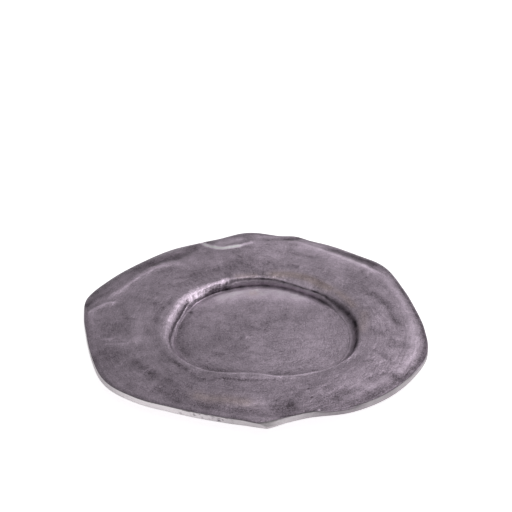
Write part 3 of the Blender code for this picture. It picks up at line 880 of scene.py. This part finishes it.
def underside_ring(kind, value, deg):
    floor_edge, well_edge = widened(FLOOR_EDGE, deg), widened(WELL_EDGE, deg)
    edge = outline(deg)
    edge_z = around(EDGE_HEIGHT, deg)
    border_z = edge_z + around(BORDER_DROP, deg)
    low = RIM_Z - WALL

    def across(r):
        top_well = around(WELL_EDGE, deg)
        return (r - top_well) / (edge - top_well)

    if kind == "under":
        r = outline(deg, 1.0) + point(deg, 1.0) - 0.45 - value
        flat = border_z - WALL + 0.4
        z = flat + (edge_z - EDGE_BAND - flat) * np.clip(1 - value / 9, 0, 1) ** 2
    elif kind == "below":
        r = well_edge + 17 + (edge - 18 - well_edge - 17) * (value - 0.12) / 0.73
        t = across(r)
        z = low + (border_z - RIM_Z) * ease(t) + arch(t) + 0.4 * ease(t)
    elif kind == "foot" and value < len(FOOT_BEND):
        out, dz = FOOT_BEND[value]
        r = well_edge + out
        z = low + dz + arch(across(r)) * (value < 2)
    elif kind == "foot":
        out, dz = FOOT_CORNER[value - len(FOOT_BEND)]
        r, z = floor_edge + out, FOOT_Z + dz
    else:
        r, z = floor_edge * value, FOOT_Z
    if kind in ("under", "below"):
        x, y = r * np.cos(np.radians(deg)), r * np.sin(np.radians(deg))
        z = z + lumps(x, y, (0.30, 45, 41), (0.08, 11, 43))
    return {"r": r, "z": z, "under": 1.0, "dirt_and_shade": 0.5 if kind == "foot" and value > 2 else 0.15}


# --- the casting ---------------------------------------------------------------
FLAGS = ("ground", "under", "dirt_and_shade", "wear_and_highlight", "tone", "warm")


def ring_points(kind, value, count):
    """Every measure of one ring, as arrays of one value a sector."""
    deg = np.arange(count) * 360.0 / count
    if kind == "edge":
        ring = edge_ring(value, deg)
    elif kind in ("under", "below", "foot", "sole"):
        ring = underside_ring(kind, value, deg)
    else:
        ring = top_ring(kind, value, deg)
    ring["deg"] = deg
    ring["x"] = ring["r"] * np.cos(np.radians(deg))
    ring["y"] = ring["r"] * np.sin(np.radians(deg))
    return {name: np.zeros(count) + ring.get(name, 0) for name in ("x", "y", "z", "deg", "r", *FLAGS)}


def stitch(faces, start_a, count_a, start_b, count_b):
    """Faces between two rings that follow each other along the section; where one
    has half the sectors, fans of three."""
    if count_a == count_b:
        for k in range(count_a):
            n = (k + 1) % count_a
            faces.append((start_a + k, start_b + k, start_b + n, start_a + n))
    elif count_b == 2 * count_a:
        for k in range(count_a):
            a0, a1 = start_a + k, start_a + (k + 1) % count_a
            b0, b1, b2 = (start_b + (2 * k + j) % count_b for j in range(3))
            faces.extend([(a0, b0, b1), (a0, b1, a1), (a1, b1, b2)])
    else:
        for k in range(count_b):
            b0, b1 = start_b + k, start_b + (k + 1) % count_b
            a0, a1, a2 = (start_a + (2 * k + j) % count_a for j in range(3))
            faces.extend([(b0, a1, a0), (b0, b1, a1), (b1, a2, a1)])


def link_object(name, data):
    made = bpy.data.objects.new(name, data)
    bpy.context.scene.collection.objects.link(made)
    return made


def build_casting():
    rings, spans, faces, total = [], [], [], 0
    for kind, value in section_rings():
        count = sectors(kind, value)
        rings.append(ring_points(kind, value, count))
        spans.append((total, count))
        total += count
    for span, following in zip(spans[:-1], spans[1:]):
        stitch(faces, *span, *following)
    # the middles of the floor and of the foot come last
    points = {name: np.concatenate([ring[name] for ring in rings] + [[0, 0]])
              for name in rings[0]}
    points["z"][-2:] = FLOOR_Z + pimple(0, 0), FOOT_Z
    points["under"][-1] = 1
    start, count = spans[0]
    faces += [(total, start + k, start + (k + 1) % count) for k in range(count)]
    start, count = spans[-1]
    faces += [(total + 1, start + (k + 1) % count, start + k) for k in range(count)]

    mesh = bpy.data.meshes.new("plate_casting")
    places = np.stack([points["x"] + WELL_X, points["y"] + WELL_Y, points["z"]], 1)
    mesh.from_pydata(places * MM, [], faces)
    for name in FLAGS:
        attribute = mesh.attributes.new(name, "FLOAT", "POINT")
        attribute.data.foreach_set("value", points[name].astype(np.float32))
    turn = np.radians(points["deg"])
    swirl = np.stack([BRUSH_RADIUS * np.cos(turn), BRUSH_RADIUS * np.sin(turn), points["r"]], 1)
    attribute = mesh.attributes.new("swirl", "FLOAT_VECTOR", "POINT")
    attribute.data.foreach_set("vector", swirl.astype(np.float32).ravel())
    mesh.shade_smooth()
    mesh.update()
    return link_object("plate_casting", mesh)


# --- materials -------------------------------------------------------------------
class Nodes:
    """A short hand for building node materials."""

    def __init__(self, name):
        self.material = bpy.data.materials.new(name)
        self.material.use_nodes = True
        self.tree = self.material.node_tree
        self.shader = self.tree.nodes["Principled BSDF"]

    def new(self, kind, **settings):
        node = self.tree.nodes.new(kind)
        for key, value in settings.items():
            if key in node.inputs:
                self.put(node, key, value)
            else:
                setattr(node, key, value)
        return node

    def put(self, node, key, value):
        if isinstance(value, bpy.types.Node):
            value = value.outputs[0]
        if isinstance(value, bpy.types.NodeSocket):
            self.tree.links.new(value, node.inputs[key])
        else:
            node.inputs[key].default_value = value

    def where(self):
        return self.new("ShaderNodeTexCoord").outputs["Object"]

    def attribute(self, name, output="Fac"):
        return self.new("ShaderNodeAttribute", attribute_name=name).outputs[output]

    def math(self, operation, a, b=0.0, c=0.0):
        node = self.new("ShaderNodeMath", operation=operation)
        for index, value in enumerate((a, b, c)):
            self.put(node, index, value)
        return node.outputs[0]

    def times(self, a, b):
        return self.math("MULTIPLY", a, b)

    def scaled(self, value, by, plus):
        return self.math("MULTIPLY_ADD", value, by, plus)

    def add(self, *parts):
        """Sum of sockets, numbers and (socket, weight) pairs."""
        parts = [self.times(*part) if isinstance(part, tuple) else part for part in parts]
        total = parts[0]
        for part in parts[1:]:
            total = self.math("ADD", total, part)
        return total

    def noise(self, vector, scale, detail, roughness, distortion=0.0):
        """Signed noise, about -1 to 1."""
        node = self.new("ShaderNodeTexNoise", Vector=vector, Scale=scale, Detail=detail,
                        Roughness=roughness, Distortion=distortion)
        return self.scaled(node.outputs["Fac"], by=4.0, plus=-2.0)

    def stretch(self, vector, factors):
        node = self.new("ShaderNodeVectorMath", operation="MULTIPLY")
        self.put(node, 0, vector)
        self.put(node, 1, factors)
        return node.outputs[0]

    def blend(self, factor, a, b):
        node = self.new("ShaderNodeMix", data_type="RGBA")
        self.put(node, 0, factor)
        for index, value in ((6, a), (7, b)):
            self.put(node, index, (*value, 1) if isinstance(value, tuple) else value)
        return node.outputs[2]

    def limit(self, value, low=0.0, high=1.0):
        node = self.new("ShaderNodeClamp")
        for index, setting in enumerate((value, low, high)):
            self.put(node, index, setting)
        return node.outputs[0]

    def bump(self, height, distance, strength, normal=None):
        node = self.new("ShaderNodeBump", Strength=strength, Distance=distance, Height=height)
        if normal is not None:
            self.put(node, "Normal", normal)
        return node.outputs[0]


# dark and light ends of each finish of the metal
PATINA = (0.10, 0.080, 0.098), (0.80, 0.675, 0.80)
WARM_PATINA = (0.11, 0.080, 0.080), (0.83, 0.67, 0.68)
GROUND_METAL = (0.23, 0.205, 0.225), (0.65, 0.605, 0.63)
UNDERSIDE = (0.20, 0.17, 0.195), (0.48, 0.42, 0.465)
# colour past the light end: rubbed bare metal and the painted highlights
BARE_METAL_AND_HIGHLIGHT = (0.97, 0.935, 0.97)
# colour of dirt and painted shade
DIRT_AND_SHADE_COLOUR = (0.045, 0.036, 0.045)


def cast_metal():
    n = Nodes("patinated_cast_aluminium")
    where = n.where()
    swirl = n.attribute("swirl", "Vector")
    tone, dirt_and_shade, wear_and_highlight = n.attribute("tone"), n.attribute("dirt_and_shade"), n.attribute("wear_and_highlight")
    ground, under = n.attribute("ground"), n.attribute("under")

    clouds = n.noise(where, scale=26, detail=3, roughness=0.5)  # patches 40 mm across
    mottle = n.noise(where, scale=95, detail=4, roughness=0.6)  # 10 mm
    speck = n.noise(where, scale=520, detail=4, roughness=0.7)  # 2 mm
    grain = n.noise(where, scale=1150, detail=3, roughness=0.75)  # 0.9 mm
    # long rubbed streaks, then finer ones
    rub = n.noise(n.stretch(swirl, (0.12, 0.12, 0.55)), scale=1.0, detail=3, roughness=0.6)
    brush = n.noise(n.stretch(swirl, (0.5, 0.5, 3.2)), scale=1.0, detail=2, roughness=0.6)
    # only the peaks of this noise become pits
    peaks = n.math("SUBTRACT", n.noise(where, scale=330, detail=2, roughness=0.5), 1.15)
    pits = n.limit(n.times(peaks, 3.0))

    # how light the patina is, with the painted highlights and painted shade that tone and wear carry:
    # each layer with its weight, then the middle level
    light = n.add((clouds, 0.09), (mottle, 0.12), (speck, 0.13), (grain, 0.31), (rub, 0.07),
                  (brush, 0.05), (tone, 0.6), (wear_and_highlight, 0.45), (pits, -0.5), 0.48)
    light = n.limit(light, high=1.6)
    colour = n.blend(light, *PATINA)
    colour = n.blend(n.limit(n.scaled(light, by=1.8, plus=-1.8)), colour, BARE_METAL_AND_HIGHLIGHT)
    colour = n.blend(n.times(n.attribute("warm"), 0.8), colour, n.blend(light, *WARM_PATINA))
    # darkened by dirt and painted shade
    dirt_and_shade_mix = n.times(n.add(dirt_and_shade, (n.times(dirt_and_shade, speck), 0.35)), 0.95)
    colour = n.blend(n.limit(dirt_and_shade_mix), colour, DIRT_AND_SHADE_COLOUR)
    # ground metal is dull at 0.25 and fresh at 1, a little uneven
    uneven = n.scaled(speck, by=0.12, plus=n.scaled(mottle, by=0.10, plus=-0.333))
    fresh = n.limit(n.scaled(ground, by=1.333, plus=uneven))
    bright = n.blend(fresh, *GROUND_METAL)
    colour = n.blend(n.limit(n.times(ground, 4.0)), colour, bright)
    below = n.blend(n.limit(n.add((speck, 0.25), (mottle, 0.2), 0.5)), *UNDERSIDE)
    colour = n.blend(under, colour, below)
    n.put(n.shader, "Base Color", colour)
    n.put(n.shader, "Metallic", 1.0)

    rough = n.add(0.45, (mottle, 0.03), (speck, 0.03), (clouds, 0.03), (dirt_and_shade, 0.25),
                  (wear_and_highlight, -0.08), (ground, -0.08), (under, 0.12))
    n.put(n.shader, "Roughness", n.limit(rough, low=0.2, high=0.9))

    skin = n.add((speck, 0.6), (grain, 0.4), (brush, 0.25))
    normal = n.bump(n.add(skin, (pits, -1.0)), distance=0.00012, strength=0.7)
    uneven_height = n.add(mottle, (rub, 0.5))
    normal = n.bump(uneven_height, distance=0.0003, strength=0.35, normal=normal)
    n.put(n.shader, "Normal", normal)
    return n.material


def felt():
    n = Nodes("pressed_grey_felt")
    where = n.where()
    fibre = n.noise(where, scale=2600, detail=4, roughness=0.7, distortion=0.6)
    clump = n.noise(where, scale=600, detail=3, roughness=0.6)
    shade = n.limit(n.add((fibre, 0.25), (clump, 0.25), 0.5))
    n.put(n.shader, "Base Color", n.blend(shade, (0.012, 0.012, 0.014), (0.075, 0.075, 0.082)))
    rough = n.add(0.93, (fibre, 0.05))
    n.put(n.shader, "Roughness", n.limit(rough, low=0.7, high=1.0))
    n.put(n.shader, "Sheen Weight", 0.5)
    n.put(n.shader, "Normal", n.bump(n.add(fibre, clump), distance=0.0003, strength=0.8))
    return n.material


def adhesive():
    n = Nodes("clear_adhesive_film")
    cloud = n.noise(n.where(), scale=900, detail=3, roughness=0.6)
    shade = n.limit(n.add((cloud, 0.3), 0.5))
    n.put(n.shader, "Base Color", n.blend(shade, (0.42, 0.36, 0.24), (0.62, 0.56, 0.42)))
    n.put(n.shader, "Roughness", n.limit(n.add(0.4, (cloud, 0.08)), low=0.2, high=0.7))
    n.put(n.shader, "Normal", n.bump(cloud, distance=0.0001, strength=0.4))
    return n.material


def seamless_paper():
    n = Nodes("white_table")
    cloud = n.noise(n.where(), scale=3, detail=2, roughness=0.5)
    shade = n.limit(n.add((cloud, 0.1), 0.5))
    n.put(n.shader, "Base Color", n.blend(shade, (0.90, 0.90, 0.90), (0.93, 0.93, 0.93)))
    n.put(n.shader, "Roughness", 0.8)
    n.put(n.shader, "Emission Color", (1.0, 1.0, 1.0, 1.0))
    n.put(n.shader, "Emission Strength", 0.76)
    # seen from below the table is clear, so the underside can be looked at
    clear = n.new("ShaderNodeBsdfTransparent")
    sides = n.new("ShaderNodeMixShader")
    n.put(sides, 0, n.new("ShaderNodeNewGeometry").outputs["Backfacing"])
    n.put(sides, 1, n.shader)
    n.put(sides, 2, clear)
    n.put(n.tree.nodes["Material Output"], "Surface", sides)
    return n.material


# --- felt pads ----------------------------------------------------------------------
# share of the pad's radius, height in mm
FELT_PROFILE = (
    (0.0, 0.0), (0.45, 0.0), (0.75, 0.0), (0.9, 0.0), (0.97, 0.05), (0.995, 0.25),
    (1.0, 0.6), (0.996, 1.0), (1.0, 1.4), (0.99, 1.75), (0.965, PAD_TOP - 0.04),
    (0.93, PAD_TOP),
)
FILM_TOP = FOOT_Z - 0.05
FILM_PROFILE = ((0.955, PAD_TOP + 0.02), (0.955, FILM_TOP), (0.6, FILM_TOP), (0.0, FILM_TOP))
PAD_SECTORS = 96
FUZZ = 0.09  # spread of the furry edge


def build_pad(number, low, high, materials):
    """A die-cut felt disc with a soft furry edge, and the adhesive film on top."""
    cx, cy = (low.x + high.x) / 2 / MM, (low.y + high.y) / 2 / MM
    radius = (high.x - low.x) / 2 / MM
    rng = np.random.default_rng(50 + number)
    angle = np.arange(PAD_SECTORS) * 2 * np.pi / PAD_SECTORS
    last_felt = len(FELT_PROFILE) - 1
    verts, faces, slots, rings = [], [], [], []
    for k, (share, z) in enumerate(FELT_PROFILE + FILM_PROFILE):
        if share == 0:
            rings.append([len(verts)])
            verts.append((cx, cy, z))
            continue
        r = radius * share
        if share > 0.9:
            r = r + rng.normal(0, FUZZ if k < last_felt else 0.0, PAD_SECTORS) - 0.12
        rings.append(list(range(len(verts), len(verts) + PAD_SECTORS)))
        verts.extend(zip(cx + r * np.cos(angle), cy + r * np.sin(angle), [z] * PAD_SECTORS))
    for k, (a, b) in enumerate(zip(rings[:-1], rings[1:])):
        for j in range(PAD_SECTORS):
            n = (j + 1) % PAD_SECTORS
            if len(a) == 1:
                faces.append((a[0], b[n], b[j]))
            elif len(b) == 1:
                faces.append((a[j], a[n], b[0]))
            else:
                faces.append((a[j], a[n], b[n], b[j]))
            slots.append(0 if k < last_felt else 1)
    mesh = bpy.data.meshes.new(f"felt_disc_{number}")
    mesh.from_pydata(np.array(verts) * MM, [], faces)
    for material in materials:
        mesh.materials.append(material)
    mesh.polygons.foreach_set("material_index", slots)
    mesh.shade_smooth()
    mesh.update()
    return link_object(f"felt_disc_{number}", mesh)


# --- the object ------------------------------------------------------------------
plate = build_casting()
plate.data.materials.append(cast_metal())
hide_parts("cast_plate")
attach(plate, ROOT)

pad_materials = [felt(), adhesive()]
for number, (low, high) in enumerate(pad_boxes, start=1):
    pad = build_pad(number, low, high, pad_materials)
    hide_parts(f"felt_pad_{number}")
    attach(pad, ROOT)

# --- the stage: pale table, soft studio light, camera (metres) ----------------------
TABLE_HALF = 6
TABLE_Z = -0.0002
KEY_AZIMUTH, KEY_ELEVATION = 36, 51
KEY_DISTANCE = 1.8
KEY_SIZE = 0.85
KEY_POWER = 10.0
# The studio round the plate: dim, a little brighter towards the key light.
STUDIO_LEVEL = 0.22
GLOWS = (  # azimuth, elevation, half width in degrees, radiance
    (38, 52, 42, 0.32),
    (90, 80, 40, 0.10),
)
CAMERA_PLACE = (0.00315, -1.11361, 0.75386)
CAMERA_DOWN = 31  # degrees below level


def toward(azimuth, elevation):
    """Unit direction; azimuth runs from +X towards +Y."""
    a, e = np.radians(azimuth), np.radians(elevation)
    return np.array([np.cos(e) * np.cos(a), np.cos(e) * np.sin(a), np.sin(e)])


def build_table():
    mesh = bpy.data.meshes.new("table")
    signs = ((-1, -1), (1, -1), (1, 1), (-1, 1))
    mesh.from_pydata([(TABLE_HALF * x, TABLE_HALF * y, 0) for x, y in signs], [], [(0, 1, 2, 3)])
    table = link_object("table", mesh)
    table.location.z = TABLE_Z
    mesh.materials.append(seamless_paper())


def build_key_light():
    """A square area light aimed at the plate."""
    light = bpy.data.lights.new("key", "AREA")
    light.energy = KEY_POWER
    light.shape = "RECTANGLE"
    light.size = light.size_y = KEY_SIZE
    lamp = link_object("key", light)
    lamp.location = KEY_DISTANCE * toward(KEY_AZIMUTH, KEY_ELEVATION)
    lamp.rotation_euler = (-lamp.location).to_track_quat("-Z", "Y").to_euler()


def build_world():
    world = bpy.data.worlds.new("studio")
    bpy.context.scene.world = world
    world.use_nodes = True
    tree = world.node_tree
    direction = tree.nodes.new("ShaderNodeTexCoord").outputs["Generated"]

    def math(operation, a, b=0.0):
        node = tree.nodes.new("ShaderNodeMath")
        node.operation = operation
        for index, value in enumerate((a, b)):
            if isinstance(value, bpy.types.NodeSocket):
                tree.links.new(value, node.inputs[index])
            else:
                node.inputs[index].default_value = value
        return node.outputs[0]

    level = STUDIO_LEVEL
    for azimuth, elevation, width, radiance in GLOWS:
        dot = tree.nodes.new("ShaderNodeVectorMath")
        dot.operation = "DOT_PRODUCT"
        tree.links.new(direction, dot.inputs[0])
        dot.inputs[1].default_value = toward(azimuth, elevation)
        tightness = 1 / (1 - np.cos(np.radians(width)))
        off_axis = math("SUBTRACT", dot.outputs["Value"], 1.0)
        glow = math("EXPONENT", math("MULTIPLY", off_axis, tightness))
        level = math("ADD", math("MULTIPLY", glow, radiance), level)
    background = tree.nodes["Background"]
    tree.links.new(level, background.inputs["Strength"])
    background.inputs["Color"].default_value = (1, 1, 1, 1)


def build_camera():
    data = bpy.data.cameras.new("camera")
    data.lens = 100
    data.sensor_width = 36
    camera = link_object("camera", data)
    camera.location = CAMERA_PLACE
    camera.rotation_euler = (np.radians(90 - CAMERA_DOWN), 0, 0)
    bpy.context.scene.camera = camera


build_table()
build_key_light()
build_world()
build_camera()
bpy.context.scene.view_settings.view_transform = "Standard"
